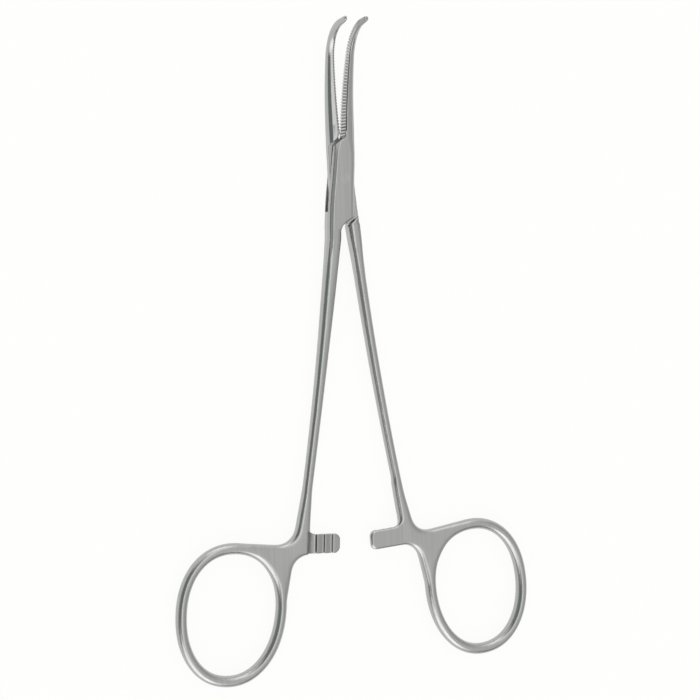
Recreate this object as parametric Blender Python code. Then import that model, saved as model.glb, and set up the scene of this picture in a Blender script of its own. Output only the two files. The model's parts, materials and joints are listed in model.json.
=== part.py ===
"""Right-angle forceps: a box-lock clamp with ring handles, a ratchet and jaws that turn upwards.

Metres, at real size. The origin is on the pivot's axis, in the plane of the lock's back face.
+Y points to the jaws, +X to the right and +Z out of the lock's front, the way the tips turn.
Each half is drawn as it stands with the jaws shut, on the lock's middle plane, and is then
turned about the pivot by half of the opening.
"""
import math

import bmesh
import bpy
from mathutils import Vector

MM = 0.001

# How far the handles stand open
rest_opening = math.radians(7.0)

# Lock: two cheeks with the tongue between them
lock_thickness = 3.9 * MM
cheek_thickness = 1.1 * MM
tongue_clearance = 0.06 * MM
parting_gap = 0.06 * MM
lock_corner = 1.1 * MM
lock_widths = [(-13.0, 6.2), (-7.0, 6.0), (0.0, 5.45), (5.0, 5.2), (10.5, 4.9)]
edge_slope = 0.65
upper_edge = 8.46 * MM
lower_edge = 9.85 * MM
edge_corner = 0.75 * MM
edge_chamfer = 0.28 * MM
shoulder_gap = 0.25 * MM
box_lock_start = -10.6 * MM
tongue_lock_start = -9.7 * MM
lock_levels = (-9.0, -6.0, -3.0, 0.0, 3.0, 5.2, 7.0, 8.5, 10.0)
shank_window_radius = 7.8 * MM
jaw_window_radius = 6.9 * MM
turning_clearance = 0.1 * MM

# The lock and the jaws lean a little to the right of the pivot on their way up (height, aside)
asides = [(-13.0, -0.12), (-6.0, -0.2), (-2.0, -0.15), (1.0, 0.0), (5.0, 0.09), (10.2, 0.17), (33.0, 0.33)]

# Pivot pin, riveted and ground flush
pin_diameter = 2.0 * MM
pin_clearance = 0.05 * MM

# Shanks: each leans out from the lock on its own long bow (offset, lean, bow per metre)
shank_top = 15.0 * MM
shank_end = 77.0 * MM
shank_step = 4.0 * MM
shank_corner_share = 0.34
shank_thicknesses = [(-77.0, 2.2), (-71.0, 2.4), (-60.0, 2.4), (-41.0, 2.7), (-24.0, 3.1), (-13.0, 3.8), (-10.6, 3.9)]
box_shank_line = (1.72 * MM, 0.07, 0.45)
box_shank_widths = [(-77.0, 2.1), (-71.0, 2.0), (-60.0, 2.0), (-41.0, 2.25), (-24.0, 2.85), (-13.0, 3.1), (-10.6, 3.5)]
tongue_shank_line = (1.82 * MM, 0.0472, 0.7)
tongue_shank_widths = [
    (-77.0, 2.1), (-71.0, 1.9), (-41.0, 1.95), (-24.0, 2.05), (-18.0, 2.1), (-13.0, 2.55), (-9.8, 2.71),
]

# Jaw: a D section that sweeps up and then turns through a right angle
jaw_root = 10.2 * MM
jaw_blend = 4.0 * MM
jaw_straight = 2.2 * MM
jaw_sweep_length = 13.2 * MM
jaw_sweep_angle = math.radians(12.6)
jaw_bend_radius = 8.3 * MM
jaw_bend_angle = math.radians(70.7)
jaw_tip_straight = 3.6 * MM
jaw_root_width = 2.47 * MM
jaw_tip_width = 0.78 * MM
jaw_width_taper = 0.95
jaw_root_thickness = 3.7 * MM
jaw_tip_thickness = 1.15 * MM
jaw_thickness_taper = 1.18
jaw_outer_round = (0.76, 0.38)
jaw_edge = 0.12 * MM
jaw_nose = 0.5 * MM
jaw_nose_loss = 0.6
jaw_gap = 0.03 * MM

# Serrations across the gripping face
tooth_pitch = 0.64 * MM
tooth_depth = 0.24 * MM
tooth_start = 0.3 * MM

# Ring: an egg-shaped bow of oval wire
ring_near_side = 12.0 * MM
ring_top = 78.27 * MM
ring_half_length = 14.08 * MM
ring_half_width = 10.95 * MM
ring_tilt = math.radians(-3.7)
ring_power = 2.15
ring_egg = 0.044
ring_wire_width = 2.35 * MM
ring_wire_thickness = 3.0 * MM
ring_steps = 44

# Web that joins the shank, the ring and the ratchet arm
web_thickness = 2.6 * MM
web_edge = 0.5 * MM
web_fillet_outer = 4.0 * MM
web_fillet_lower = 3.8 * MM
web_top = -66.0 * MM
web_inset = 0.08 * MM
web_above_ring = 7.0
web_on_ring = (9.0, 80.0)
web_below_ring = 76.0
tongue_handle_shift = -0.25 * MM
web_outer_corner = (-9.5 * MM, -78.3 * MM)
web_lower_corner = -9.4 * MM
web_step = -6.3 * MM
step_top = (-5.85 * MM, -73.2 * MM)

# Ratchet arm with its saw teeth
arm_top = -76.0 * MM
arm_bottom = -80.2 * MM
arm_tip = 1.35 * MM
arm_root = -6.0 * MM
arm_fillet = 1.8 * MM
arm_tip_round = 1.3 * MM
arm_crest = 0.06 * MM
ratchet_pitch = 1.83 * MM
ratchet_depth = 0.45 * MM
ratchet_teeth = 3
ratchet_first = -4.2 * MM
ratchet_rise = 0.22 * MM

# Steps of the arcs, and how far the cutters reach past the lock
left_steps = 2
right_steps = 3
arc_steps = 6
side_reach = 9.0 * MM
cut_low = -13.0 * MM
cut_high = jaw_root + 0.1 * MM
cutter_margin = 1.0 * MM


def collection(name):
    """Make an empty collection in the scene."""
    made = bpy.data.collections.new(name)
    bpy.context.scene.collection.children.link(made)
    return made


def steel(name, colour, roughness):
    """Stainless steel with the given satin finish."""
    material = bpy.data.materials.new(name)
    material.use_nodes = True
    shader = material.node_tree.nodes["Principled BSDF"]
    shader.inputs["Base Color"].default_value = (*colour, 1.0)
    shader.inputs["Roughness"].default_value = roughness
    shader.inputs["Metallic"].default_value = 1.0
    return material


def place(name, mesh, group, material=None):
    """Put a mesh in a collection as an object; without a material it is a cutter or a guide."""
    piece = bpy.data.objects.new(name, mesh)
    group.objects.link(piece)
    if material is None:
        piece.hide_render = True
        piece.display_type = "WIRE"
    else:
        mesh.materials.append(material)
    return piece


def mesh_from(work, name):
    """Close a bmesh into a mesh with its faces pointing out."""
    bmesh.ops.recalc_face_normals(work, faces=work.faces)
    mesh = bpy.data.meshes.new(name)
    work.to_mesh(mesh)
    work.free()
    return mesh


def loft(name, rings, closed=False):
    """Skin a row of rings of points; the ends are capped unless the row closes on itself."""
    work = bmesh.new()
    rows = [[work.verts.new(point) for point in ring] for ring in rings]
    count = len(rows[0])
    pairs = list(zip(rows, rows[1:]))
    if closed:
        pairs.append((rows[-1], rows[0]))
    for lower, upper in pairs:
        for i in range(count):
            j = (i + 1) % count
            work.faces.new((lower[i], lower[j], upper[j], upper[i]))
    if not closed:
        work.faces.new(rows[0])
        work.faces.new(rows[-1])
    return mesh_from(work, name)


def prism(name, levels):
    """Skin an outline in the plan that may change with height; levels are (height, outline)."""
    return loft(name, [[Vector((x, y, z)) for x, y in outline] for z, outline in levels])


def smooth_value(stations, y):
    """Read a value in metres from stations in millimetres, on a smooth curve through them."""
    place_mm = y / MM
    spots = [spot for spot, _ in stations]
    values = [value for _, value in stations]
    if place_mm <= spots[0]:
        return values[0] * MM
    if place_mm >= spots[-1]:
        return values[-1] * MM
    slopes = []
    for i in range(len(spots)):
        before = max(i - 1, 0)
        after = min(i + 1, len(spots) - 1)
        slopes.append((values[after] - values[before]) / (spots[after] - spots[before]))
    i = max(k for k in range(len(spots) - 1) if spots[k] <= place_mm)
    span = spots[i + 1] - spots[i]
    t = (place_mm - spots[i]) / span
    start = values[i] * (2 * t ** 3 - 3 * t ** 2 + 1) + slopes[i] * span * (t ** 3 - 2 * t ** 2 + t)
    end = values[i + 1] * (3 * t ** 2 - 2 * t ** 3) + slopes[i + 1] * span * (t ** 3 - t ** 2)
    return (start + end) * MM


def bar_section(left, right, thickness, left_round, right_round):
    """Points (x, n) of a bar's section; each side's corners are quarter ovals (across, up)."""
    half = thickness / 2
    corners = [
        (right, half, -1, -1, right_round, 0, right_steps),
        (left, half, 1, -1, left_round, 90, left_steps),
        (left, -half, 1, 1, left_round, 180, left_steps),
        (right, -half, -1, 1, right_round, 270, right_steps),
    ]
    points = []
    for x, n, toward_x, toward_n, (across, up), start, steps in corners:
        for step in range(steps + 1):
            angle = math.radians(start + 90 * step / steps)
            centre_x = x + toward_x * across
            centre_n = n + toward_n * up
            points.append((centre_x + across * math.cos(angle), centre_n + up * math.sin(angle)))
    return points


def shank_sides(shank, y):
    """The outer and inner side of a shank at a height below the lock."""
    (offset, lean, bow), widths = shank
    down = -shank_top - y
    middle = -(offset + lean * down + bow * down * down)
    half = smooth_value(widths, y) / 2
    return middle - half, min(middle + half, -parting_gap)


def shank_ring(shank, y):
    """Section of the shank, which is level there."""
    left, right = shank_sides(shank, y)
    corner = shank_corner_share * (right - left)
    thickness = smooth_value(shank_thicknesses, y)
    points = bar_section(left, right, thickness, (corner, corner), (corner, corner))
    return [Vector((x, y, n)) for x, n in points]


def lock_ring(y, side):
    """Section of the whole lock as forged; near the jaws it takes on their rounder section."""
    half = smooth_value(lock_widths, y) / 2
    share = min(max((y - jaw_blend) / (jaw_root - jaw_blend), 0.0), 1.0)
    share = share * share * (3 - 2 * share)
    thickness = lock_thickness + (jaw_root_thickness - lock_thickness) * share
    across = lock_corner + (jaw_outer_round[0] * jaw_root_width - lock_corner) * share
    up = lock_corner + (jaw_outer_round[1] * jaw_root_thickness - lock_corner) * share
    points = bar_section(-half, half, thickness, (across, up), (across, up))
    aside = side * smooth_value(asides, y)
    return [Vector((x + aside, y, n)) for x, n in points]


def jaw_point(s):
    """Height, rise and heading of the jaw's middle line at a length s from its root."""
    if s <= jaw_straight:
        return jaw_root + s, 0.0, 0.0
    s -= jaw_straight
    y = jaw_root + jaw_straight
    sweep_radius = jaw_sweep_length / jaw_sweep_angle
    if s <= jaw_sweep_length:
        heading = s / sweep_radius
        return y + sweep_radius * math.sin(heading), sweep_radius * (1 - math.cos(heading)), heading
    s -= jaw_sweep_length
    y += sweep_radius * math.sin(jaw_sweep_angle)
    z = sweep_radius * (1 - math.cos(jaw_sweep_angle))
    bend = min(s / jaw_bend_radius, jaw_bend_angle)
    heading = jaw_sweep_angle + bend
    y += jaw_bend_radius * (math.sin(heading) - math.sin(jaw_sweep_angle))
    z += jaw_bend_radius * (math.cos(jaw_sweep_angle) - math.cos(heading))
    rest = max(s - jaw_bend_radius * jaw_bend_angle, 0.0)
    return y + rest * math.cos(heading), z + rest * math.sin(heading), heading


def jaw_ring(s, length, notch, side):
    """Section of the jaw at a length s, its gripping face set back by notch."""
    share = s / length
    width = jaw_root_width + (jaw_tip_width - jaw_root_width) * share ** jaw_width_taper
    thinner = (jaw_tip_thickness - jaw_root_thickness) * share ** jaw_thickness_taper
    thickness = jaw_root_thickness + thinner
    nose = min(1.0, max(0.0, 1 - (length - s) / jaw_nose))
    trim = 1 - jaw_nose_loss * (1 - math.sqrt(1 - nose * nose))
    width *= trim
    thickness *= trim
    outer = (jaw_outer_round[0] * width, jaw_outer_round[1] * thickness)
    points = bar_section(jaw_gap + notch, width, thickness, (jaw_edge, jaw_edge), outer)
    y, z, heading = jaw_point(s)
    aside = side * smooth_value(asides, y)
    return [Vector((x + aside, y - n * math.sin(heading), z + n * math.cos(heading))) for x, n in points]


def jaw_rings(phase, side):
    """Sections along the jaw: one at each tooth's crest and one at each root between them."""
    length = jaw_straight + jaw_sweep_length + jaw_bend_radius * jaw_bend_angle + jaw_tip_straight
    rings = [jaw_ring(0.0, length, 0.0, side)]
    teeth = int((length - jaw_nose - tooth_start) / tooth_pitch - phase)
    for tooth in range(teeth):
        crest = tooth_start + (tooth + phase) * tooth_pitch
        rings.append(jaw_ring(crest, length, 0.0, side))
        rings.append(jaw_ring(crest + tooth_pitch / 2, length, tooth_depth, side))
    last = tooth_start + (teeth + phase) * tooth_pitch
    for share in (0.0, 0.35, 0.7, 0.9, 1.0):
        rings.append(jaw_ring(last + (length - last) * share, length, 0.0, side))
    return rings


def half_bar(name, shank, lock_start, phase, side):
    """One half's bar from the web to the jaw's tip, as wide as the whole lock where they cross."""
    rings = []
    y = -shank_end
    while y < lock_start - shank_step / 2:
        rings.append(shank_ring(shank, y))
        y += shank_step
    rings.append(shank_ring(shank, lock_start - 0.2 * MM))
    rings.append(lock_ring(lock_start, side))
    for level in lock_levels:
        rings.append(lock_ring(level * MM, side))
    rings.extend(jaw_rings(phase, side))
    return loft(name, rings)


def mirrored(mesh, name):
    """The same mesh on the other side of the parting plane."""
    work = bmesh.new()
    work.from_mesh(mesh)
    bmesh.ops.scale(work, vec=(-1.0, 1.0, 1.0), verts=work.verts)
    bpy.data.meshes.remove(mesh)
    return mesh_from(work, name)


def arc(radius, start, end):
    """Points on a circle about the pivot's axis, between two turns in radians."""
    steps = arc_steps * 2
    turns = [start + (end - start) * step / steps for step in range(steps + 1)]
    return [(radius * math.cos(turn), radius * math.sin(turn)) for turn in turns]


def cheek_side_outline(grow):
    """What is cut from the box half's right side below the lock, where the other shank lies."""
    corner = -lower_edge + grow
    inner = -parting_gap - grow / 2
    return [
        (inner, cut_low),
        (side_reach, cut_low),
        (side_reach, corner + edge_slope * side_reach),
        (edge_corner, corner + edge_slope * edge_corner),
        (0.2 * edge_corner, corner - 0.2 * edge_corner),
        (inner, corner - 0.9 * edge_corner),
    ]


def cheek_jaw_outline(grow):
    """What is cut from the box half's left side above the lock, where the other jaw lies."""
    aside = smooth_value(asides, jaw_root)
    corner = upper_edge - grow
    inner = aside + parting_gap + grow / 2
    turn = aside - 0.4 * edge_corner
    return [
        (inner, cut_high),
        (-side_reach, cut_high),
        (-side_reach, corner - edge_slope * side_reach),
        (turn, corner + edge_slope * turn),
        (inner, corner + edge_slope * aside + 0.4 * edge_corner),
    ]


def window_outline():
    """Plan of the space inside both arcs, open to the other half's shank and jaw."""
    quarter = math.pi / 2
    inner = smooth_value(asides, jaw_root) + parting_gap
    points = [(side_reach, cut_low), (side_reach, 0.0)]
    points += arc(jaw_window_radius, 0.0, quarter - math.asin(inner / jaw_window_radius))
    points += [(inner, cut_high), (-side_reach, cut_high), (-side_reach, 0.0)]
    points += arc(shank_window_radius, 2 * quarter, 3 * quarter - math.asin(parting_gap / shank_window_radius))
    points.append((-parting_gap, cut_low))
    return points


def beside_tongue_outline(radius, side):
    """Plan of what is cut past the tongue's arc, below it (side 1) or above it (side -1)."""
    reach = -cut_low if side == 1 else cut_high
    inner = parting_gap if side == 1 else parting_gap - smooth_value(asides, jaw_root)
    start = 1.5 * math.pi + math.asin(inner / radius)
    points = arc(radius, start, start - math.pi / 3)
    points += [(-side_reach, points[-1][1]), (-side_reach, -reach), (inner, -reach)]
    return [(side * x, side * y) for x, y in points]


def pocket_outline(grow):
    """Plan of the recess that takes a cheek, between the tongue half's two shoulders."""
    low = -lower_edge - shoulder_gap - grow
    aside = smooth_value(asides, jaw_root)
    high = upper_edge + shoulder_gap + grow + edge_slope * aside
    return [
        (-side_reach, low - 1.2 * edge_corner),
        (0.0, low - 1.2 * edge_corner),
        (0.4 * edge_corner, low - 0.33 * edge_corner),
        (edge_corner, low + edge_slope * edge_corner),
        (side_reach, low + edge_slope * side_reach),
        (side_reach, high + 1.2 * edge_corner),
        (aside, high + 1.2 * edge_corner),
        (aside - 0.4 * edge_corner, high + 0.33 * edge_corner),
        (aside - edge_corner, high - edge_slope * edge_corner),
        (-side_reach, high - edge_slope * (side_reach + aside)),
    ]


def rounded(corners):
    """An outline through corners given as (x, y, radius), each radius a tangent arc."""
    points = []
    count = len(corners)
    for i, (x, y, radius) in enumerate(corners):
        here = Vector((x, y))
        if radius == 0:
            points.append((x, y))
            continue
        before = (Vector(corners[i - 1][:2]) - here).normalized()
        after = (Vector(corners[(i + 1) % count][:2]) - here).normalized()
        half = before.angle(after) / 2
        centre = here + (before + after).normalized() * (radius / math.sin(half))
        start = here + before * (radius / math.tan(half)) - centre
        turn = math.pi - 2 * half
        if before.cross(after) > 0:
            turn = -turn
        for step in range(arc_steps + 1):
            angle = turn * step / arc_steps
            cos, sin = math.cos(angle), math.sin(angle)
            points.append((centre.x + start.x * cos - start.y * sin, centre.y + start.x * sin + start.y * cos))
    return points


def ring_point(angle, outward=0.0):
    """A point of the ring's middle line, and its outward direction, at a turn from the top."""
    centre = Vector((-ring_near_side - ring_half_width, -ring_top - ring_half_length))

    def on_line(turn):
        cos, sin = math.cos(turn), math.sin(turn)
        size = (abs(cos) ** ring_power + abs(sin) ** ring_power) ** (-1 / ring_power)
        along = ring_half_length * size * cos
        across = ring_half_width * size * sin * (1 + ring_egg * along / ring_half_length)
        tilt_cos, tilt_sin = math.cos(ring_tilt), math.sin(ring_tilt)
        return centre + Vector((across * tilt_cos - along * tilt_sin, across * tilt_sin + along * tilt_cos))

    small = 0.001
    tangent = (on_line(angle + small) - on_line(angle - small)).normalized()
    normal = Vector((-tangent.y, tangent.x))
    point = on_line(angle)
    if normal.dot(point - centre) < 0:
        normal = -normal
    return point + normal * outward, normal


def handle_ring(name, side):
    """The finger ring, a closed loft of oval sections."""
    corners = 2 * (left_steps + right_steps)
    rings = []
    for step in range(ring_steps):
        point, normal = ring_point(2 * math.pi * step / ring_steps)
        section = []
        for k in range(corners + 4):
            angle = 2 * math.pi * k / (corners + 4)
            out = ring_wire_width / 2 * math.cos(angle)
            up = ring_wire_thickness / 2 * math.sin(angle)
            section.append(Vector((side * (point.x + normal.x * out), point.y + normal.y * out, up)))
        rings.append(section)
    return loft(name, rings, closed=True)


def web_outline(shank):
    """Plan of the web and the ratchet arm, which leave the shank's end together."""
    shank_left, shank_right = shank_sides(shank, web_top)
    inner_wall = ring_wire_width / 2 - web_inset
    shoulder, _ = ring_point(math.radians(web_above_ring), inner_wall)
    corners = [
        (shank_right - web_inset, web_top, 0),
        (shank_left + web_inset, web_top, 0),
        (web_outer_corner[0], web_outer_corner[1], web_fillet_outer),
        (shoulder.x, shoulder.y, 0),
    ]
    first, last = web_on_ring
    for step in range(2 * arc_steps + 1):
        share = step / (2 * arc_steps)
        inward = inner_wall * min(1.0, 2.5 * share, 2.5 * (1 - share))
        point, _ = ring_point(math.radians(first + (last - first) * share), -inward)
        corners.append((point.x, point.y, 0))
    point, _ = ring_point(math.radians(web_below_ring), inner_wall)
    corners += [
        (point.x, point.y, 0),
        (web_lower_corner, arm_bottom, web_fillet_lower),
        (arm_tip, arm_bottom, arm_tip_round),
        (arm_tip, arm_top, arm_tip_round),
        (arm_root, arm_top, arm_fillet),
    ]
    return rounded(corners)


def plate(name, outline, low, high, edge, side):
    """A flat plate with rounded edges from a 2D curve, made a mesh and welded."""
    curve = bpy.data.curves.new(name, "CURVE")
    curve.dimensions = "2D"
    curve.fill_mode = "BOTH"
    curve.extrude = (high - low) / 2 - edge
    curve.bevel_depth = edge
    curve.bevel_resolution = 1
    curve.offset = -edge
    spline = curve.splines.new("POLY")
    points = [(side * x, y) for x, y in outline]
    spline.points.add(len(points) - 1)
    for spot, (x, y) in zip(spline.points, points):
        spot.co = (x, y, 0.0, 1.0)
    spline.use_cyclic_u = True
    holder = bpy.data.objects.new(name, curve)
    bpy.context.scene.collection.objects.link(holder)
    bpy.context.view_layer.update()
    mesh = bpy.data.meshes.new_from_object(holder.evaluated_get(bpy.context.evaluated_depsgraph_get()))
    bpy.data.objects.remove(holder)
    bpy.data.curves.remove(curve)
    work = bmesh.new()
    work.from_mesh(mesh)
    bmesh.ops.remove_doubles(work, verts=work.verts, dist=0.001 * MM)
    bmesh.ops.translate(work, verts=work.verts, vec=(0.0, 0.0, (low + high) / 2))
    bpy.data.meshes.remove(mesh)
    return mesh_from(work, name)


def ratchet_profile(step_x):
    """Side view (x, z) of what is cut from the arm's face to leave the saw teeth."""
    crest = -arm_crest
    root = crest - ratchet_depth
    clear = lock_thickness
    points = [(step_x, clear), (step_x, root), (ratchet_first, root)]
    for tooth in range(ratchet_teeth):
        x = ratchet_first + tooth * ratchet_pitch
        points.append((x + ratchet_rise, crest))
        if tooth < ratchet_teeth - 1:
            points.append((x + ratchet_pitch, root))
    points.append((arm_tip + ratchet_pitch, root))
    points.append((arm_tip + ratchet_pitch, clear))
    return points


def ratchet_cutter(name, side, face):
    """The saw-tooth cutter; its end wall leaves the web's step in line with the shank's edge."""
    rings = []
    for y, step_x in ((step_top[1], step_top[0]), (arm_bottom - 1.0 * MM, web_step)):
        rings.append([Vector((side * x, y, face * z)) for x, z in ratchet_profile(step_x)])
    return loft(name, rings)


def cylinder(name, radius, low, high, sides=32):
    """An upright round bar on the pivot's axis."""
    work = bmesh.new()
    bmesh.ops.create_cone(work, cap_ends=True, segments=sides, radius1=radius, radius2=radius, depth=high - low)
    bmesh.ops.translate(work, verts=work.verts, vec=(0.0, 0.0, (low + high) / 2))
    return mesh_from(work, name)


def combine(piece, tool, operation):
    """Cut a tool out of a piece, or join it on; the tool turns with the first piece it works on."""
    if tool.parent is None:
        tool.parent = piece
    boolean = piece.modifiers.new(tool.name, "BOOLEAN")
    boolean.operation = operation
    boolean.solver = "EXACT"
    boolean.object = tool


def add_handle(piece, shank, side, face, shift, tools):
    """Join the ring, the web and the ratchet arm to one half."""
    label = piece.name
    half = web_thickness / 2
    ring = place(label + "_ring", handle_ring(label + "_ring", side), tools)
    plan = web_outline(shank)
    web = place(label + "_web", plate(label + "_web", plan, -half, half, web_edge, side), tools)
    teeth = place(label + "_ratchet", ratchet_cutter(label + "_ratchet", side, face), tools)
    for tool in (ring, web, teeth):
        tool.parent = piece
        tool.location.x = shift
    combine(web, teeth, "DIFFERENCE")
    combine(piece, web, "UNION")
    combine(piece, ring, "UNION")


def build_box(parts, tools, satin):
    """Box half: left shank, two cheeks with the window between them, right jaw."""
    shank = (box_shank_line, box_shank_widths)
    piece = place("box_half", half_bar("box_half", shank, box_lock_start, 0.0, 1), parts, satin)
    half = lock_thickness / 2
    for label, outline in (("cheek_side", cheek_side_outline), ("cheek_jaw", cheek_jaw_outline)):
        levels = [
            (-half - cutter_margin, outline(edge_chamfer)),
            (-half, outline(edge_chamfer)),
            (-half + edge_chamfer, outline(0.0)),
            (half - edge_chamfer, outline(0.0)),
            (half, outline(edge_chamfer)),
            (half + cutter_margin, outline(edge_chamfer)),
        ]
        combine(piece, place(label, prism(label, levels), tools), "DIFFERENCE")
    inner_face = half - cheek_thickness
    levels = [(-inner_face, window_outline()), (inner_face, window_outline())]
    combine(piece, place("window", prism("window", levels), tools), "DIFFERENCE")
    return piece, shank


def build_tongue(parts, tools, satin):
    """Tongue half: right shank, the tongue between its shoulders, left jaw."""
    shank = (tongue_shank_line, tongue_shank_widths)
    bar = mirrored(half_bar("bar", shank, tongue_lock_start, 0.5, -1), "tongue_half")
    piece = place("tongue_half", bar, parts, satin)
    half = lock_thickness / 2
    tongue_face = half - cheek_thickness - tongue_clearance
    for label, sign in (("front_pocket", 1), ("back_pocket", -1)):
        levels = [
            (sign * tongue_face, pocket_outline(0.0)),
            (sign * (half - edge_chamfer), pocket_outline(0.0)),
            (sign * half, pocket_outline(edge_chamfer)),
            (sign * (half + cutter_margin), pocket_outline(edge_chamfer)),
        ]
        combine(piece, place(label, prism(label, levels), tools), "DIFFERENCE")
    past = half + cutter_margin
    for label, radius, side in (("below_tongue", shank_window_radius, 1), ("above_tongue", jaw_window_radius, -1)):
        plan = beside_tongue_outline(radius - turning_clearance, side)
        combine(piece, place(label, prism(label, [(-past, plan), (past, plan)]), tools), "DIFFERENCE")
    return piece, shank


def build():
    for old in list(bpy.data.objects):
        bpy.data.objects.remove(old)
    parts = collection("right_angle_forceps")
    tools = collection("cutters")
    satin = steel("satin_stainless", (0.56, 0.57, 0.56), 0.3)
    ground = steel("ground_pin_end", (0.6, 0.6, 0.59), 0.25)

    box, box_shank = build_box(parts, tools, satin)
    tongue, tongue_shank = build_tongue(parts, tools, satin)

    # One hole through both halves, and the pin in it
    half = lock_thickness / 2
    past = half + cutter_margin
    hole = place("pin_hole", cylinder("pin_hole", pin_diameter / 2 + pin_clearance, -past, past), tools)
    combine(box, hole, "DIFFERENCE")
    combine(tongue, hole, "DIFFERENCE")
    pin = place("pivot_pin", cylinder("pivot_pin", pin_diameter / 2, -half, half), parts, ground)

    # The ratchet teeth are on the box half's front and on the tongue half's back
    add_handle(box, box_shank, 1, 1, 0.0, tools)
    add_handle(tongue, tongue_shank, -1, -1, tongue_handle_shift, tools)

    for piece, turn in ((box, -rest_opening / 2), (tongue, rest_opening / 2), (pin, 0.0)):
        piece.location = (0.0, 0.0, half)
        piece.rotation_euler = (0.0, 0.0, turn)
        piece.data.shade_smooth()
        piece.data.set_sharp_from_angle(angle=math.radians(35))


build()
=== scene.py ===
"""Right-angle forceps in satin stainless steel, lying on a pale table under soft studio light.

Two forgings cross in a box lock and turn on a flush rivet. Each has a finger ring, a slim
shank, a ratchet arm and a fine serrated jaw whose tip turns up through a right angle.
"""
import json
import math

import bmesh
import bpy
import numpy as np
from mathutils import Matrix, Vector


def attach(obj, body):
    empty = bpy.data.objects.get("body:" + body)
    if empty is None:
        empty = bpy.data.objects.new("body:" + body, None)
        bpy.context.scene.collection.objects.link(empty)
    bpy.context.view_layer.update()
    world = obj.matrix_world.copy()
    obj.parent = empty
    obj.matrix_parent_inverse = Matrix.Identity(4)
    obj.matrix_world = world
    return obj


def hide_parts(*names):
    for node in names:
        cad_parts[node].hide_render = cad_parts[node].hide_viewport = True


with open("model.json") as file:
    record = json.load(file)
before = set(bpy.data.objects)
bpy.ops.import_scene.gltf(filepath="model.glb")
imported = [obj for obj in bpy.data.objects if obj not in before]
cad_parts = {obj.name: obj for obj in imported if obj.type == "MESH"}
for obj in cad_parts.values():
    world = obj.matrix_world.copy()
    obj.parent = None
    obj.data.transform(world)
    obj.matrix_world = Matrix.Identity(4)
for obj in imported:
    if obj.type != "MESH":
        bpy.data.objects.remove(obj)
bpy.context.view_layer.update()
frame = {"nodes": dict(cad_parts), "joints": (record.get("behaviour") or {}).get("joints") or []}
MM = 0.001

# Box half: one stainless forging with the left ring, shank and ratchet arm, the two cheeks of
# the lock and the right jaw. It is drop forged, milled for the lock, then ground, tumbled and
# brushed, which rounds the handle well and only breaks the edges of the lock and the teeth.
half_open = math.radians(-frame["joints"][0]["range_deg"][0] / 2)
lock_middle = frame["joints"][0]["pos_m"][2] / MM
# Lengths are in millimetres, with the jaws shut and heights taken from the lock's middle
merge_distance = 0.002
cut = -15.0
cut_overlap = 1.0
join_gap = 0.1
handle_voxel = 0.18
lock_voxel = 0.1
handle_passes = (12, 96)
lock_passes = (8, 36)
round_share = 0.7
round_swell = 0.13
round_ramp = 8.0
smooth_step = 0.5
restore_step = 0.53
table_clearance = 0.003
arm_inner = 7.6
arm_inner_blend = 1.6
arm_low = -81.2
arm_low_blend = 0.7
arm_high = -75.3
arm_high_blend = 0.5
arm_stiffness = 0.65
nose_level = 11.1
nose_blend = 0.4
crotch_level = -9.6
crotch_end = -12.4
crotch_fade = 1.6
crotch_reach = 1.6
crotch_blend = 0.5
triangles_kept = 0.6
sharp_angle = math.radians(55)
tooth_pitch = 0.64
tooth_depth = 0.24
tooth_start = 0.3
tooth_reach = 0.85
setback_end = 0.4
setback_fade = 1.4
jaw_root = 10.2
jaw_root_margin = 0.15
jaw_path_steps = 400
jaw_aside = 0.17
jaw_lean = 0.007
jaw_straight = 2.2
jaw_sweep_length = 13.2
jaw_sweep_angle = math.radians(12.6)
jaw_bend_radius = 8.3
jaw_bend_angle = math.radians(70.7)
jaw_tip_straight = 3.6
jaw_nose = 0.5
jaw_length = jaw_straight + jaw_sweep_length + jaw_bend_radius * jaw_bend_angle + jaw_tip_straight
# Painted shade in the recesses: the relief at the jaw's root and the ratchet's floor, their soft edges and
# the dark colour painted there
relief_along = (7.4, 11.5)
relief_along_blur = 0.5
relief_across = (-1.3, 1.2)
floor_along = (-81.8, -75.0)
floor_across = (-6.9, -5.0)
shade_mask_blur = 0.3
shade_face_margin = 0.15
floor_shade = 0.7
painted_shade_colour = "#5a6061"
streak_tones = (0.86, 1.1)
glossier = 0.05
duller = 0.06


def jaw_point(s):
    """Height and rise of the jaw's middle line at a length s from its root, in millimetres."""
    if s <= jaw_straight:
        return jaw_root + s, 0.0
    s -= jaw_straight
    y = jaw_root + jaw_straight
    sweep_radius = jaw_sweep_length / jaw_sweep_angle
    if s <= jaw_sweep_length:
        heading = s / sweep_radius
        return y + sweep_radius * math.sin(heading), sweep_radius * (1 - math.cos(heading))
    s -= jaw_sweep_length
    y += sweep_radius * math.sin(jaw_sweep_angle)
    z = sweep_radius * (1 - math.cos(jaw_sweep_angle))
    heading = jaw_sweep_angle + min(s / jaw_bend_radius, jaw_bend_angle)
    y += jaw_bend_radius * (math.sin(heading) - math.sin(jaw_sweep_angle))
    z += jaw_bend_radius * (math.cos(jaw_sweep_angle) - math.cos(heading))
    rest = max(s - jaw_bend_radius * jaw_bend_angle, 0.0)
    return y + rest * math.cos(heading), z + rest * math.sin(heading)


def tooth_range(phase):
    """The first and the last crest along the jaw, and how many pitches lie between them."""
    teeth = int((jaw_length - jaw_nose - tooth_start) / tooth_pitch - phase)
    first = tooth_start + phase * tooth_pitch
    return first, first + teeth * tooth_pitch, teeth


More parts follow.
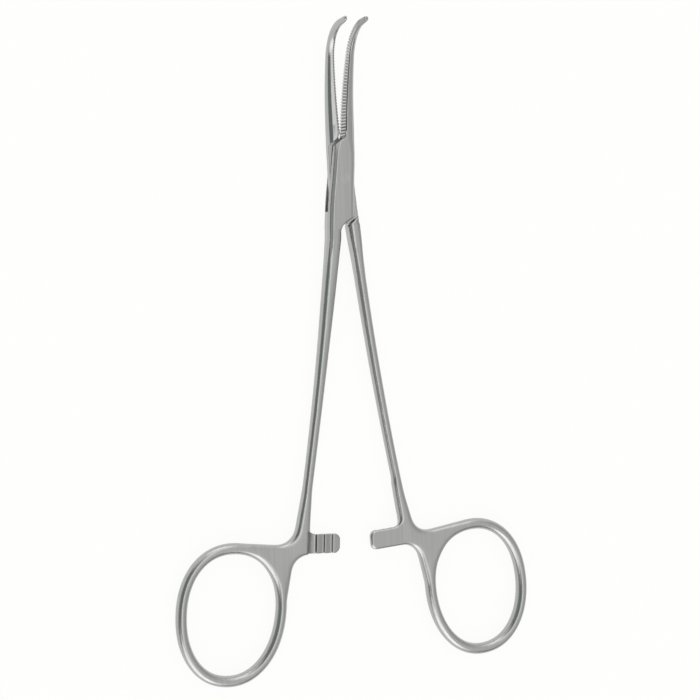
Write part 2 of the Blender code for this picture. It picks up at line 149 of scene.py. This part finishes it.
def closed_copy(node, side, phase):
    """A merged copy in millimetres, with the jaws shut and the gripping face cut down to its roots.

    The cut fades out over the last two teeth, so that the nose runs on without a step.
    """
    work = bmesh.new()
    work.from_mesh(frame["nodes"][node].data)
    bmesh.ops.transform(work, matrix=Matrix.Scale(1 / MM, 4), verts=work.verts)
    bmesh.ops.translate(work, vec=(0.0, 0.0, -lock_middle), verts=work.verts)
    bmesh.ops.transform(work, matrix=Matrix.Rotation(side * half_open, 4, "Z"), verts=work.verts)
    bmesh.ops.remove_doubles(work, verts=work.verts, dist=merge_distance)
    spots = [jaw_length * step / jaw_path_steps for step in range(jaw_path_steps + 1)]
    path = np.array([jaw_point(s) for s in spots])
    _, last, _ = tooth_range(phase)
    for vert in work.verts:
        if vert.co.y < jaw_root - jaw_root_margin:
            continue
        s = spots[int(np.argmin(((path - (vert.co.y, vert.co.z)) ** 2).sum(1)))]
        level = side * (vert.co.x - jaw_aside - jaw_lean * (vert.co.y - jaw_root))
        if level < tooth_depth * tooth_reach:
            fade = min(1.0, max(0.0, (last + setback_end - s) / setback_fade))
            vert.co.x += side * tooth_depth * fade
    return work


def keep_side(work, y, above):
    """Cut off everything on one side of a level across the shank; the cut edges are returned."""
    made = bmesh.ops.bisect_plane(
        work,
        geom=work.verts[:] + work.edges[:] + work.faces[:],
        plane_co=(0.0, y, 0.0),
        plane_no=(0.0, 1.0 if above else -1.0, 0.0),
        clear_inner=True,
    )
    return [item for item in made["geom_cut"] if isinstance(item, bmesh.types.BMEdge)]


def evaluated(mesh, add_modifier):
    """The mesh as one modifier leaves it."""
    holder = bpy.data.objects.new("holder", mesh)
    bpy.context.scene.collection.objects.link(holder)
    add_modifier(holder)
    bpy.context.view_layer.update()
    result = bpy.data.meshes.new_from_object(holder.evaluated_get(bpy.context.evaluated_depsgraph_get()))
    bpy.data.objects.remove(holder)
    return result


def tumble(mesh, side, passes):
    """Take the voxel steps out of a mesh, then round its edges and fill its inner corners."""
    count = len(mesh.vertices)
    points = np.zeros(count * 3)
    mesh.vertices.foreach_get("co", points)
    points = points.reshape(-1, 3)
    edges = np.zeros(len(mesh.edges) * 2, int)
    mesh.edges.foreach_get("vertices", edges)
    ends = edges.reshape(-1, 2)
    corners = np.array([tuple(face.vertices) for face in mesh.polygons if len(face.vertices) == 4])
    here = np.concatenate((ends[:, 0], ends[:, 1]))
    there = np.concatenate((ends[:, 1], ends[:, 0]))
    neighbours = np.bincount(here, minlength=count)[:, None]

    def towards_neighbours():
        total = [np.bincount(here, points[there, axis], minlength=count) for axis in range(3)]
        return np.stack(total, 1) / neighbours - points

    # The ratchet arm and the lock are milled after forging, so they keep their edges. The handle,
    # the jaw's nose and, on the box half, the crotch under the lock are rounded freely
    across_lock = np.clip((crotch_reach - np.abs(points[:, 0])) / crotch_blend, 0.0, 1.0)
    crotch = across_lock * np.clip((crotch_level - points[:, 1]) / crotch_blend, 0.0, 1.0)
    crotch *= np.clip((points[:, 1] - crotch_end) / crotch_fade, 0.0, 1.0) * (side > 0)
    nose = np.clip((points[:, 2] - nose_level) / nose_blend, 0.0, 1.0)
    forged = np.clip((cut - cut_overlap - points[:, 1]) / round_ramp, 0.0, 1.0)
    on_arm = np.clip((arm_inner + side * points[:, 0]) / arm_inner_blend, 0.0, 1.0)
    arm_rows = np.clip((points[:, 1] - arm_low) / arm_low_blend, 0.0, 1.0)
    arm_rows *= np.clip((arm_high - points[:, 1]) / arm_high_blend, 0.0, 1.0)
    on_arm *= arm_rows
    free = (np.maximum(np.maximum(crotch, nose), forged) * (1 - on_arm))[:, None]
    softness = 1 - arm_stiffness * on_arm[:, None]
    stair_passes, round_passes = passes
    for _ in range(stair_passes):
        points += smooth_step * softness * towards_neighbours()
        points -= restore_step * softness * towards_neighbours()
    for _ in range(round_passes):
        across = points[corners[:, 2]] - points[corners[:, 0]]
        other = points[corners[:, 3]] - points[corners[:, 1]]
        face_normals = np.cross(across, other)
        normals = np.zeros((count, 3))
        for axis in range(3):
            for corner in range(4):
                normals[:, axis] += np.bincount(corners[:, corner], face_normals[:, axis], minlength=count)
        normals /= np.linalg.norm(normals, axis=1)[:, None] + 1e-12
        pull = towards_neighbours()
        hollow = (pull * normals).sum(1)[:, None] > 0.0
        points += np.where(hollow, smooth_step, smooth_step * round_share) * free * pull
    points += round_swell * normals * (forged * (1 - on_arm))[:, None]
    points[:, 2] = np.maximum(points[:, 2], table_clearance - lock_middle)
    mesh.vertices.foreach_set("co", points.ravel())
    mesh.update()


def within(values, low, high, blur):
    """1 between the two limits and 0 outside them, with a soft edge."""
    return np.clip((values - low) / blur, 0.0, 1.0) * np.clip((high - values) / blur, 0.0, 1.0)


def paint_recess_shade(mesh, side):
    """Painted shade in the recesses: the relief at the jaw's root and the floor of the ratchet.

    The front and back faces of the lock are ground, so the relief's painted shade stops short of both.
    """
    points = np.zeros(len(mesh.vertices) * 3)
    mesh.vertices.foreach_get("co", points)
    x, y, z = (points.reshape(-1, 3) / MM).T
    cosine, sine = math.cos(half_open), side * math.sin(half_open)
    across, along = cosine * x - sine * y, sine * x + cosine * y
    # Painted shade, strongest in the relief at the jaw's root and, on the box half, on the ratchet's floor
    painted_shade = within(along, *relief_along, relief_along_blur) * within(across, *relief_across, shade_mask_blur)
    below_front = np.clip((2 * lock_middle - shade_face_margin - z) / shade_face_margin, 0.0, 1.0)
    painted_shade *= below_front * np.clip((z - shade_face_margin) / shade_face_margin, 0.0, 1.0)
    if side > 0:
        floor = within(along, *floor_along, shade_mask_blur) * within(across, *floor_across, shade_mask_blur)
        painted_shade = np.maximum(painted_shade, floor_shade * floor * (z > lock_middle / 2))
    mesh.attributes.new("painted_shade", "FLOAT", "POINT").data.foreach_set("value", painted_shade)


def forged_half(node, side, phase):
    """The smooth forging of one half; side is 1 where the handle is on the left."""
    whole = bmesh.new()
    for above, voxel, passes in ((False, handle_voxel, handle_passes), (True, lock_voxel, lock_passes)):
        work = closed_copy(node, side, phase)
        reach = cut_overlap if not above else -cut_overlap
        rim = keep_side(work, cut + reach, above)
        bmesh.ops.triangle_fill(work, edges=rim, use_beauty=True)
        bmesh.ops.recalc_face_normals(work, faces=work.faces)
        block = bpy.data.meshes.new(node + "_block")
        work.to_mesh(block)
        work.free()

        def add_remesh(holder):
            remesh = holder.modifiers.new("voxels", "REMESH")
            remesh.mode = "VOXEL"
            remesh.voxel_size = voxel

        block = evaluated(block, add_remesh)
        tumble(block, side, passes)
        work = bmesh.new()
        work.from_mesh(block)
        keep_side(work, cut + (join_gap if above else -join_gap), above)
        work.to_mesh(block)
        work.free()
        whole.from_mesh(block)
    bmesh.ops.bridge_loops(whole, edges=[edge for edge in whole.edges if edge.is_boundary])
    bmesh.ops.recalc_face_normals(whole, faces=whole.faces)
    bmesh.ops.rotate(whole, verts=whole.verts, matrix=Matrix.Rotation(-side * half_open, 3, "Z"))
    bmesh.ops.translate(whole, verts=whole.verts, vec=(0.0, 0.0, lock_middle))
    bmesh.ops.scale(whole, verts=whole.verts, vec=(MM, MM, MM))
    forging = bpy.data.meshes.new(node + "_forging")
    whole.to_mesh(forging)
    whole.free()

    def add_decimate(holder):
        fewer = holder.modifiers.new("fewer", "DECIMATE")
        fewer.ratio = triangles_kept

    forging = evaluated(forging, add_decimate)
    # Painted shade in the recesses, stored on the mesh for the material
    paint_recess_shade(forging, side)
    forging.shade_smooth()
    forging.set_sharp_from_angle(angle=sharp_angle)
    return forging


def linear(hex_colour):
    """An sRGB hex value as linear red, green, blue and alpha."""
    shares = [int(hex_colour[i:i + 2], 16) / 255 for i in (1, 3, 5)]
    return (*[c / 12.92 if c <= 0.04045 else ((c + 0.055) / 1.055) ** 2.4 for c in shares], 1.0)


def add(tree, kind, settings=(), values=(), links=()):
    """Add a node with its settings, its input values and the links into it."""
    node = tree.nodes.new(kind)
    for name, value in dict(settings).items():
        setattr(node, name, value)
    for name, value in dict(values).items():
        node.inputs[name].default_value = value
    for name, output in dict(links).items():
        tree.links.new(output, node.inputs[name])
    return node


def brushed_stainless(name, colour, grain_width, grain_length, roughness):
    """Martensitic stainless steel, ground and then brushed along the shank.

    It reflects soft grey bands with a satin blur. The grain is drawn coarser than the real one,
    so that it shows at all, and wider streaks of it change the tone a little. The mesh's painted
    shade attribute, where it has one, darkens the colour in the recesses as painted shade.
    """
    material = bpy.data.materials.new(name)
    material.use_nodes = True
    tree = material.node_tree
    shader = tree.nodes["Principled BSDF"]
    shader.inputs["Metallic"].default_value = 1.0
    place = add(tree, "ShaderNodeTexCoord").outputs["Object"]
    grain_scale = (1 / (grain_width * MM), 1 / (grain_length * MM), 1 / (grain_width * MM))
    stretched = add(tree, "ShaderNodeMapping", values={"Scale": grain_scale}, links={"Vector": place})
    grain = add(
        tree, "ShaderNodeTexNoise", values={"Scale": 1.0, "Detail": 3.0, "Roughness": 0.6},
        links={"Vector": stretched.outputs["Vector"]},
    )
    streaks = add(
        tree, "ShaderNodeTexNoise", values={"Scale": 0.3, "Detail": 2.0},
        links={"Vector": stretched.outputs["Vector"]},
    )
    dull = add(
        tree, "ShaderNodeMapRange", values={"To Min": roughness - glossier, "To Max": roughness + duller},
        links={"Value": grain.outputs["Fac"]},
    )
    tree.links.new(dull.outputs["Result"], shader.inputs["Roughness"])
    tone = add(
        tree, "ShaderNodeMix", settings={"data_type": "RGBA"}, links={"Factor": streaks.outputs["Fac"]}
    )
    tone.inputs[6].default_value = [c * streak_tones[0] for c in linear(colour)[:3]] + [1.0]
    tone.inputs[7].default_value = [c * streak_tones[1] for c in linear(colour)[:3]] + [1.0]
    # Painted shade: the attribute darkens the base colour towards a dark grey in the recesses
    painted_shade_attribute = add(tree, "ShaderNodeAttribute", settings={"attribute_name": "painted_shade"})
    shade_mix = add(tree, "ShaderNodeMix", settings={"data_type": "RGBA"}, links={0: painted_shade_attribute.outputs["Fac"]})
    tree.links.new(tone.outputs[2], shade_mix.inputs[6])
    shade_mix.inputs[7].default_value = linear(painted_shade_colour)
    tree.links.new(shade_mix.outputs[2], shader.inputs["Base Color"])
    bump = add(
        tree, "ShaderNodeBump", values={"Strength": 0.3, "Distance": 0.02 * MM},
        links={"Height": grain.outputs["Fac"]},
    )
    tree.links.new(bump.outputs["Normal"], shader.inputs["Normal"])
    return material


satin = brushed_stainless("satin_stainless", "#b2b2b1", grain_width=0.16, grain_length=6.0, roughness=0.2)
box_forging = bpy.data.objects.new("box_half_forging", forged_half("box_half", side=1, phase=0.0))
bpy.context.scene.collection.objects.link(box_forging)
box_forging.data.materials.append(satin)
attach(box_forging, "box_half")
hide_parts("box_half")

# Tongue half: the second forging, with the right ring, shank and ratchet arm, the tongue that
# passes through the box, and the left jaw. It has the same steel and the same finish.
tongue_forging = bpy.data.objects.new("tongue_half_forging", forged_half("tongue_half", side=-1, phase=0.5))
bpy.context.scene.collection.objects.link(tongue_forging)
tongue_forging.data.materials.append(satin)
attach(tongue_forging, "tongue_half")
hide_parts("tongue_half")

# Serrations: fine ribs milled straight across both gripping faces, one jaw half a pitch ahead
# of the other so that they mesh. They get lower towards the tip, and the nose is left smooth.
jaw_gap = 0.03
jaw_root_thickness = 3.7
jaw_tip_thickness = 1.15
jaw_taper = 1.18
rib_seat = 0.06
rib_arch = 0.035
rib_land = 0.4
rib_back_gap = 0.04
rib_front_gaps = {"box_half": 0.2, "tongue_half": 0.05}
ribs_on_root = 2
rib_tip_height = 0.65
# The grooves' painted shade: its colour, where it fades up the rib, and where it fades out near the tip
groove_shade_colour = "#2c2f2e"
groove_shade = (0.2, 0.92)
groove_shade_fade = (0.84, 0.95)
path_points_per_rib = 8
slope_step = 0.01
rib_tree = bpy.data.node_groups.new("jaw_serrations", "GeometryNodeTree")
rib_tree.interface.new_socket("Path", in_out="INPUT", socket_type="NodeSocketGeometry")
rib_inputs = {}
for label in ("Pitch", "Height", "Arch", "Root thickness", "Tip thickness", "Facing"):
    socket = rib_tree.interface.new_socket(label, in_out="INPUT", socket_type="NodeSocketFloat")
    rib_inputs[label] = socket.identifier
steel_socket = rib_tree.interface.new_socket("Steel", in_out="INPUT", socket_type="NodeSocketMaterial")
rib_inputs["Steel"] = steel_socket.identifier
rib_tree.interface.new_socket("Ribs", in_out="OUTPUT", socket_type="NodeSocketGeometry")
given = rib_tree.nodes.new("NodeGroupInput").outputs
resampled = add(
    rib_tree, "GeometryNodeResampleCurve", settings={"mode": "LENGTH"},
    links={"Curve": given["Path"], "Length": given["Pitch"]},
)
bar = add(rib_tree, "GeometryNodeMeshCube", values={"Vertices X": 2, "Vertices Y": 2, "Vertices Z": 9})
position = add(rib_tree, "GeometryNodeInputPosition")
spot = add(rib_tree, "ShaderNodeSeparateXYZ", links={"Vector": position.outputs[0]})
squared = add(rib_tree, "ShaderNodeMath", settings={"operation": "MULTIPLY"})
rib_tree.links.new(spot.outputs["Z"], squared.inputs[0])
rib_tree.links.new(spot.outputs["Z"], squared.inputs[1])
sagged = add(rib_tree, "ShaderNodeMath", settings={"operation": "MULTIPLY"})
rib_tree.links.new(squared.outputs[0], sagged.inputs[0])
rib_tree.links.new(given["Arch"], sagged.inputs[1])
offset = add(rib_tree, "ShaderNodeCombineXYZ", links={"Y": sagged.outputs[0]})
# The bar narrows from the whole pitch at its foot to the land at its top
climb = add(rib_tree, "ShaderNodeMath", settings={"operation": "ADD"}, links={0: spot.outputs["X"]})
climb.inputs[1].default_value = 0.5
slant = add(rib_tree, "ShaderNodeMath", settings={"operation": "MULTIPLY"}, links={0: climb.outputs[0]})
slant.inputs[1].default_value = rib_land - 1
narrowing = add(
    rib_tree, "ShaderNodeMath", settings={"operation": "MULTIPLY"},
    links={0: slant.outputs[0], 1: spot.outputs["Y"]},
)
inwards = add(rib_tree, "ShaderNodeCombineXYZ", links={"Y": narrowing.outputs[0]})
tapered = add(
    rib_tree, "GeometryNodeSetPosition", links={"Geometry": bar.outputs["Mesh"], "Offset": inwards.outputs[0]}
)
marked = add(
    rib_tree, "GeometryNodeStoreNamedAttribute", values={"Name": "rib_height"},
    links={"Geometry": tapered.outputs[0]},
)
rib_tree.links.new(climb.outputs[0], marked.inputs["Value"])
lift = add(rib_tree, "ShaderNodeMath", settings={"operation": "MULTIPLY"}, links={0: given["Height"]})
lift.inputs[1].default_value = 0.5
rib_size = add(
    rib_tree, "ShaderNodeCombineXYZ", values={"Z": 1.0}, links={"X": given["Height"], "Y": given["Pitch"]}
)
sized = add(
    rib_tree, "GeometryNodeTransform", links={"Geometry": marked.outputs[0], "Scale": rib_size.outputs[0]}
)
raised = add(rib_tree, "ShaderNodeCombineXYZ", links={"X": lift.outputs[0]})
seated = add(
    rib_tree, "GeometryNodeTransform", links={"Geometry": sized.outputs[0], "Translation": raised.outputs[0]}
)
turn = add(rib_tree, "ShaderNodeCombineXYZ", links={"Z": given["Facing"]})
faced = add(rib_tree, "GeometryNodeTransform", links={"Geometry": seated.outputs[0]})
rib_tree.links.new(turn.outputs[0], faced.inputs["Rotation"])
arched = add(
    rib_tree, "GeometryNodeSetPosition", links={"Geometry": faced.outputs[0], "Offset": offset.outputs[0]}
)
placed = add(
    rib_tree, "GeometryNodeStoreNamedAttribute", values={"Name": "rib_place"},
    links={"Geometry": resampled.outputs[0]},
)
rib_tree.links.new(add(rib_tree, "GeometryNodeSplineParameter").outputs["Factor"], placed.inputs["Value"])
tangent = add(rib_tree, "GeometryNodeInputTangent")
aligned = add(
    rib_tree, "FunctionNodeAlignRotationToVector", settings={"axis": "Y", "pivot_axis": "X"},
    links={"Vector": tangent.outputs[0]},
)
along = add(rib_tree, "GeometryNodeSplineParameter")
eased = add(rib_tree, "ShaderNodeMath", settings={"operation": "POWER"}, links={0: along.outputs["Factor"]})
eased.inputs[1].default_value = jaw_taper
thickness = add(
    rib_tree, "ShaderNodeMapRange",
    links={"Value": eased.outputs[0], "To Min": given["Root thickness"], "To Max": given["Tip thickness"]},
)
lower = add(
    rib_tree, "ShaderNodeMapRange", values={"To Min": 1.0, "To Max": rib_tip_height},
    links={"Value": along.outputs["Factor"]},
)
stretch = add(
    rib_tree, "ShaderNodeCombineXYZ", values={"Y": 1.0},
    links={"X": lower.outputs[0], "Z": thickness.outputs[0]},
)
ribs = add(
    rib_tree, "GeometryNodeInstanceOnPoints",
    links={
        "Points": placed.outputs[0],
        "Instance": arched.outputs[0],
        "Rotation": aligned.outputs[0],
        "Scale": stretch.outputs[0],
    },
)
realized = add(rib_tree, "GeometryNodeRealizeInstances", links={"Geometry": ribs.outputs[0]})
coated = add(
    rib_tree, "GeometryNodeSetMaterial", links={"Geometry": realized.outputs[0], "Material": given["Steel"]}
)
add(rib_tree, "NodeGroupOutput", links={"Ribs": coated.outputs[0]})


def thickness_at(s):
    """How thick the jaw is at a length s, along the way its tip turns."""
    share = (s / jaw_length) ** jaw_taper
    return jaw_root_thickness + (jaw_tip_thickness - jaw_root_thickness) * share


# The same steel painted brighter on the lands as a painted highlight, and the milled flanks
# painted dark towards the roots of the grooves as painted shade
milled = brushed_stainless("milled_serrations", "#c8c8c7", grain_width=0.16, grain_length=6.0, roughness=0.2)
tree = milled.node_tree
shader = tree.nodes["Principled BSDF"]
land_highlight_tone = shader.inputs["Base Color"].links[0].from_socket
high = add(tree, "ShaderNodeAttribute", settings={"attribute_name": "rib_height"})
flank = add(
    tree, "ShaderNodeMapRange", values={"From Min": groove_shade[0], "From Max": groove_shade[1]},
    links={"Value": high.outputs["Fac"]},
)
# Towards the tip the grooves are shallow and their painted shade fades out
placing = add(tree, "ShaderNodeAttribute", settings={"attribute_name": "rib_place"})
near_tip = add(
    tree, "ShaderNodeMapRange", values={"From Min": groove_shade_fade[0], "From Max": groove_shade_fade[1]},
    links={"Value": placing.outputs["Fac"]},
)
unshaded_share = add(
    tree, "ShaderNodeMath", settings={"operation": "MAXIMUM"},
    links={0: flank.outputs["Result"], 1: near_tip.outputs["Result"]},
)
# Painted shade at the grooves' roots, blending into the painted highlight of the brighter lands
shaded = add(tree, "ShaderNodeMix", settings={"data_type": "RGBA"}, links={0: unshaded_share.outputs[0]})
shaded.inputs[6].default_value = linear(groove_shade_colour)
tree.links.new(land_highlight_tone, shaded.inputs[7])
tree.links.new(shaded.outputs[2], shader.inputs["Base Color"])

for body, side, phase in (("box_half", 1, 0.0), ("tongue_half", -1, 0.5)):
    first, last, teeth = tooth_range(phase)
    first -= ribs_on_root * tooth_pitch
    level = side * (jaw_gap + tooth_depth + rib_seat)
    path = bpy.data.curves.new(body + "_rib_path", "CURVE")
    path.dimensions = "3D"
    front_gap = rib_front_gaps[body]
    inset = rib_back_gap + front_gap
    backward = (rib_back_gap - front_gap) / 2
    spline = path.splines.new("POLY")
    steps = (teeth + ribs_on_root) * path_points_per_rib
    spline.points.add(steps)
    for step in range(steps + 1):
        s = first + (last - tooth_pitch - first) * step / steps
        y, z = jaw_point(s)
        next_y, next_z = jaw_point(s + slope_step)
        slope = math.atan2(next_z - z, next_y - y)
        y -= backward * math.sin(slope)
        z += backward * math.cos(slope)
        spline.points[step].co = (level + jaw_aside + jaw_lean * (y - jaw_root), y, z, 1.0)
    holder = bpy.data.objects.new(body + "_rib_path", path)
    bpy.context.scene.collection.objects.link(holder)
    cutter = holder.modifiers.new("ribs", "NODES")
    cutter.node_group = rib_tree
    # The bar is 1 long, so its ends lie at 0.5, and 4 times that squared makes the whole arch
    sizes = {
        "Pitch": tooth_pitch,
        "Height": tooth_depth + rib_seat,
        "Arch": -rib_arch * 4,
        "Root thickness": jaw_root_thickness - inset,
        "Tip thickness": thickness_at(last - tooth_pitch) - inset,
        "Facing": math.pi if side == 1 else 0.0,
        "Steel": milled,
    }
    for label, value in sizes.items():
        cutter[rib_inputs[label]] = value
    bpy.context.view_layer.update()
    mesh = bpy.data.meshes.new_from_object(holder.evaluated_get(bpy.context.evaluated_depsgraph_get()))
    bpy.data.objects.remove(holder)
    mesh.transform(Matrix.Rotation(-side * half_open, 4, "Z"))
    mesh.transform(Matrix.Translation((0.0, 0.0, lock_middle)))
    mesh.transform(Matrix.Scale(MM, 4))
    serrations = bpy.data.objects.new(body + "_serrations", mesh)
    bpy.context.scene.collection.objects.link(serrations)
    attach(serrations, body)

# Pivot pin: a stainless rivet, pressed flat in the cheeks so that its ends fill the hole, and
# ground flush with them, which leaves only a hair line around it.
ground = brushed_stainless("ground_stainless", "#b4b4b3", grain_width=0.15, grain_length=1.5, roughness=0.2)
pin_radius = 1.0
head_radius = 1.2
head_height = 1.0
head_bevel = 0.02
head_sink = 0.008
head_shoulder = 0.05
pin_sides = 64
rivet_merge_distance = 0.001
rivet_sharp_angle = math.radians(30)
lock_thickness = 2 * lock_middle
profile = (
    (0.0, head_sink), (head_radius - head_bevel, head_sink), (head_radius, head_sink + head_bevel),
    (head_radius, head_height), (pin_radius, head_height + head_shoulder),
)
profile += tuple((radius, lock_thickness - z) for radius, z in reversed(profile))
work = bmesh.new()
spine = [work.verts.new((radius, 0.0, z)) for radius, z in profile]
outline = [work.edges.new(pair) for pair in zip(spine, spine[1:])]
bmesh.ops.spin(
    work, geom=spine + outline, cent=(0.0, 0.0, 0.0), axis=(0.0, 0.0, 1.0), angle=math.tau, steps=pin_sides
)
bmesh.ops.remove_doubles(work, verts=work.verts, dist=rivet_merge_distance)
bmesh.ops.recalc_face_normals(work, faces=work.faces)
bmesh.ops.scale(work, vec=(MM, MM, MM), verts=work.verts)
rivet_mesh = bpy.data.meshes.new("pivot_rivet")
work.to_mesh(rivet_mesh)
work.free()
rivet_mesh.materials.append(ground)
rivet_mesh.shade_smooth()
rivet_mesh.set_sharp_from_angle(angle=rivet_sharp_angle)
rivet = bpy.data.objects.new("pivot_rivet", rivet_mesh)
bpy.context.scene.collection.objects.link(rivet)
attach(rivet, "box_half")
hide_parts("pivot_pin")

# Table: a pale, even sheet of matt paper that carries the instrument and takes its faint
# shadow. Its white is a glow that only the camera and the steel see.
table_level = -0.03 * MM
table_half_width = 1.5
table_glow = 0.935
paper_white = "#fdfdfb"
paper_matt = (0.1, 0.1, 0.098, 1.0)
table_mesh = bpy.data.meshes.new("table")
work = bmesh.new()
bmesh.ops.create_grid(work, x_segments=2, y_segments=2, size=table_half_width)
bmesh.ops.translate(work, vec=(0.0, 0.0, table_level), verts=work.verts)
work.to_mesh(table_mesh)
work.free()
table = bpy.data.objects.new("table", table_mesh)
bpy.context.scene.collection.objects.link(table)
paper = bpy.data.materials.new("matt_white_paper")
paper.use_nodes = True
tree = paper.node_tree
tree.nodes.remove(tree.nodes["Principled BSDF"])
seen = add(tree, "ShaderNodeLightPath")
either = add(
    tree, "ShaderNodeMath", settings={"operation": "MAXIMUM"},
    links={0: seen.outputs["Is Camera Ray"], 1: seen.outputs["Is Glossy Ray"]},
)
glow_level = add(tree, "ShaderNodeMath", settings={"operation": "MULTIPLY"}, links={0: either.outputs[0]})
glow_level.inputs[1].default_value = table_glow
glow = add(
    tree, "ShaderNodeEmission", values={"Color": linear(paper_white)},
    links={"Strength": glow_level.outputs[0]},
)
matt = add(tree, "ShaderNodeBsdfDiffuse", values={"Color": paper_matt})
both = add(tree, "ShaderNodeAddShader", links={0: glow.outputs[0], 1: matt.outputs[0]})
tree.links.new(both.outputs[0], tree.nodes["Material Output"].inputs["Surface"])
table_mesh.materials.append(paper)

# Studio: a grey room with an unlit wall on the left, which draws the dark band down every round
# of the steel, and a bright strip overhead. The wall past the jaws is pale, brighter low down,
# and the one past the rings is dim.
tint_start = 0.6
tint_fade = 0.3
red_lost = 0.12
blue_share = 0.98
blue_gained = 0.01
end_tint = 0.98
screen_direction = (-0.42, -0.76, 0.48)
screen_edge = (0.78, 0.97)
screen_glow = (2.0, 2.0, 1.97, 1.0)
fill_grey = (0.7, 0.7, 0.7, 1.0)
lamp_target = (0.0, -0.03, 0.0)
room = bpy.data.worlds.new("studio")
bpy.context.scene.world = room
room.use_nodes = True
tree = room.node_tree
outlook = add(tree, "ShaderNodeTexCoord")
parts = add(tree, "ShaderNodeSeparateXYZ", links={"Vector": outlook.outputs["Generated"]})
bearing = add(
    tree, "ShaderNodeMath", settings={"operation": "ARCTAN2"},
    links={0: parts.outputs["X"], 1: parts.outputs["Z"]},
)
share = add(
    tree, "ShaderNodeMapRange", values={"From Min": -math.pi, "From Max": math.pi},
    links={"Value": bearing.outputs[0]},
)
bands = add(tree, "ShaderNodeValToRGB", links={"Fac": share.outputs["Result"]})
# Each stop is a bearing in degrees to the right of straight up, and how bright the room is there
stops = (
    (-180, 0.95), (-128, 0.8), (-110, 0.4), (-94, 0.44), (-80, 0.4), (-60, 0.28), (-36, 0.27),
    (-24, 0.4), (-13, 1.1), (-8, 1.4), (-4, 1.7), (1, 1.2), (8, 0.9), (14, 0.86), (28, 0.85),
    (42, 0.68), (60, 0.6), (95, 0.66), (125, 0.8), (180, 0.95),
)
ramp = bands.color_ramp
while len(ramp.elements) < len(stops):
    ramp.elements.new(0.5)
for element, (degrees, level) in zip(ramp.elements, stops):
    element.position = (degrees + 180) / 360
    # The dim bands have a little less red than the bright ones
    cool = min(1.0, max(0.0, (tint_start - level) / tint_fade))
    blue = level * (blue_share + blue_gained * cool)
    element.color = (level * (1 - red_lost * cool), level, blue, 1.0)
walls = bands.outputs["Color"]
# Each end wall: the share along Y at which it begins and at which it is whole, and its brightness
end_walls = ((0.5, 0.8, 0.9), (0.86, 0.98, 1.8), (-0.5, -0.85, 0.4))
for start, end, level in end_walls:
    towards_end = add(
        tree, "ShaderNodeMapRange", settings={"interpolation_type": "SMOOTHSTEP"},
        values={"From Min": start, "From Max": end}, links={"Value": parts.outputs["Y"]},
    )
    joined = add(
        tree, "ShaderNodeMix", settings={"data_type": "RGBA"}, links={0: towards_end.outputs["Result"]}
    )
    tree.links.new(walls, joined.inputs[6])
    joined.inputs[7].default_value = (level * end_tint, level, level * end_tint, 1.0)
    walls = joined.outputs[2]
# A pale screen low on the near left, which lights the lower left of every ring and web
closeness = add(
    tree, "ShaderNodeVectorMath", settings={"operation": "DOT_PRODUCT"},
    links={0: outlook.outputs["Generated"]},
)
closeness.inputs[1].default_value = Vector(screen_direction).normalized()
screen = add(
    tree, "ShaderNodeMapRange", settings={"interpolation_type": "SMOOTHSTEP"},
    values={"From Min": screen_edge[0], "From Max": screen_edge[1]},
    links={"Value": closeness.outputs["Value"]},
)
joined = add(tree, "ShaderNodeMix", settings={"data_type": "RGBA"}, links={0: screen.outputs["Result"]})
tree.links.new(walls, joined.inputs[6])
joined.inputs[7].default_value = screen_glow
walls = joined.outputs[2]
# Matt surfaces see an even grey in place of the walls, and the camera sees the table's white
path = add(tree, "ShaderNodeLightPath")
plain = add(
    tree, "ShaderNodeMix", settings={"data_type": "RGBA"}, links={0: path.outputs["Is Diffuse Ray"]}
)
tree.links.new(walls, plain.inputs[6])
plain.inputs[7].default_value = fill_grey
white = add(
    tree, "ShaderNodeMix", settings={"data_type": "RGBA"}, links={0: path.outputs["Is Camera Ray"]}
)
tree.links.new(plain.outputs[2], white.inputs[6])
white.inputs[7].default_value = linear(paper_white)
tree.links.new(white.outputs[2], tree.nodes["Background"].inputs["Color"])

# Two weak softboxes, one past the jaws and one past the rings
for name, place, size, energy in (
    ("far_softbox", (0.05, 0.8, 0.6), 0.6, 0.5),
    ("near_softbox", (0.05, -0.9, 0.6), 0.6, 0.5),
):
    lamp = bpy.data.lights.new(name, "AREA")
    lamp.size = size
    lamp.energy = energy
    stand = bpy.data.objects.new(name, lamp)
    bpy.context.scene.collection.objects.link(stand)
    stand.location = place
    aim = Vector(lamp_target) - Vector(place)
    stand.rotation_euler = aim.to_track_quat("-Z", "Y").to_euler()

# Camera: above the table, leaning about 20 degrees to the left, with a lens long enough to keep
# both rings nearly even in size.
yaw, pitch, roll = math.radians(20.872), math.radians(3.549), math.radians(2.305)
camera_distance = 370.19
pixels_per_mm = 4.6682
picture_width = 700
distance = camera_distance * MM
focal_pixels = pixels_per_mm * camera_distance
target = Vector((0.5085 * MM, -36.627 * MM, lock_middle * MM))
turn = Matrix.Rotation(roll, 3, "Z") @ Matrix.Rotation(pitch, 3, "X") @ Matrix.Rotation(yaw, 3, "Y")
lens = bpy.data.cameras.new("camera")
lens.sensor_width = 36.0
lens.lens = focal_pixels / picture_width * lens.sensor_width
lens.clip_start = 0.01
view = bpy.data.objects.new("camera", lens)
bpy.context.scene.collection.objects.link(view)
view.location = target + turn.transposed() @ Vector((0.0, 0.0, distance))
view.rotation_euler = turn.transposed().to_euler()
bpy.context.scene.camera = view

bpy.context.scene.view_settings.view_transform = "Standard"
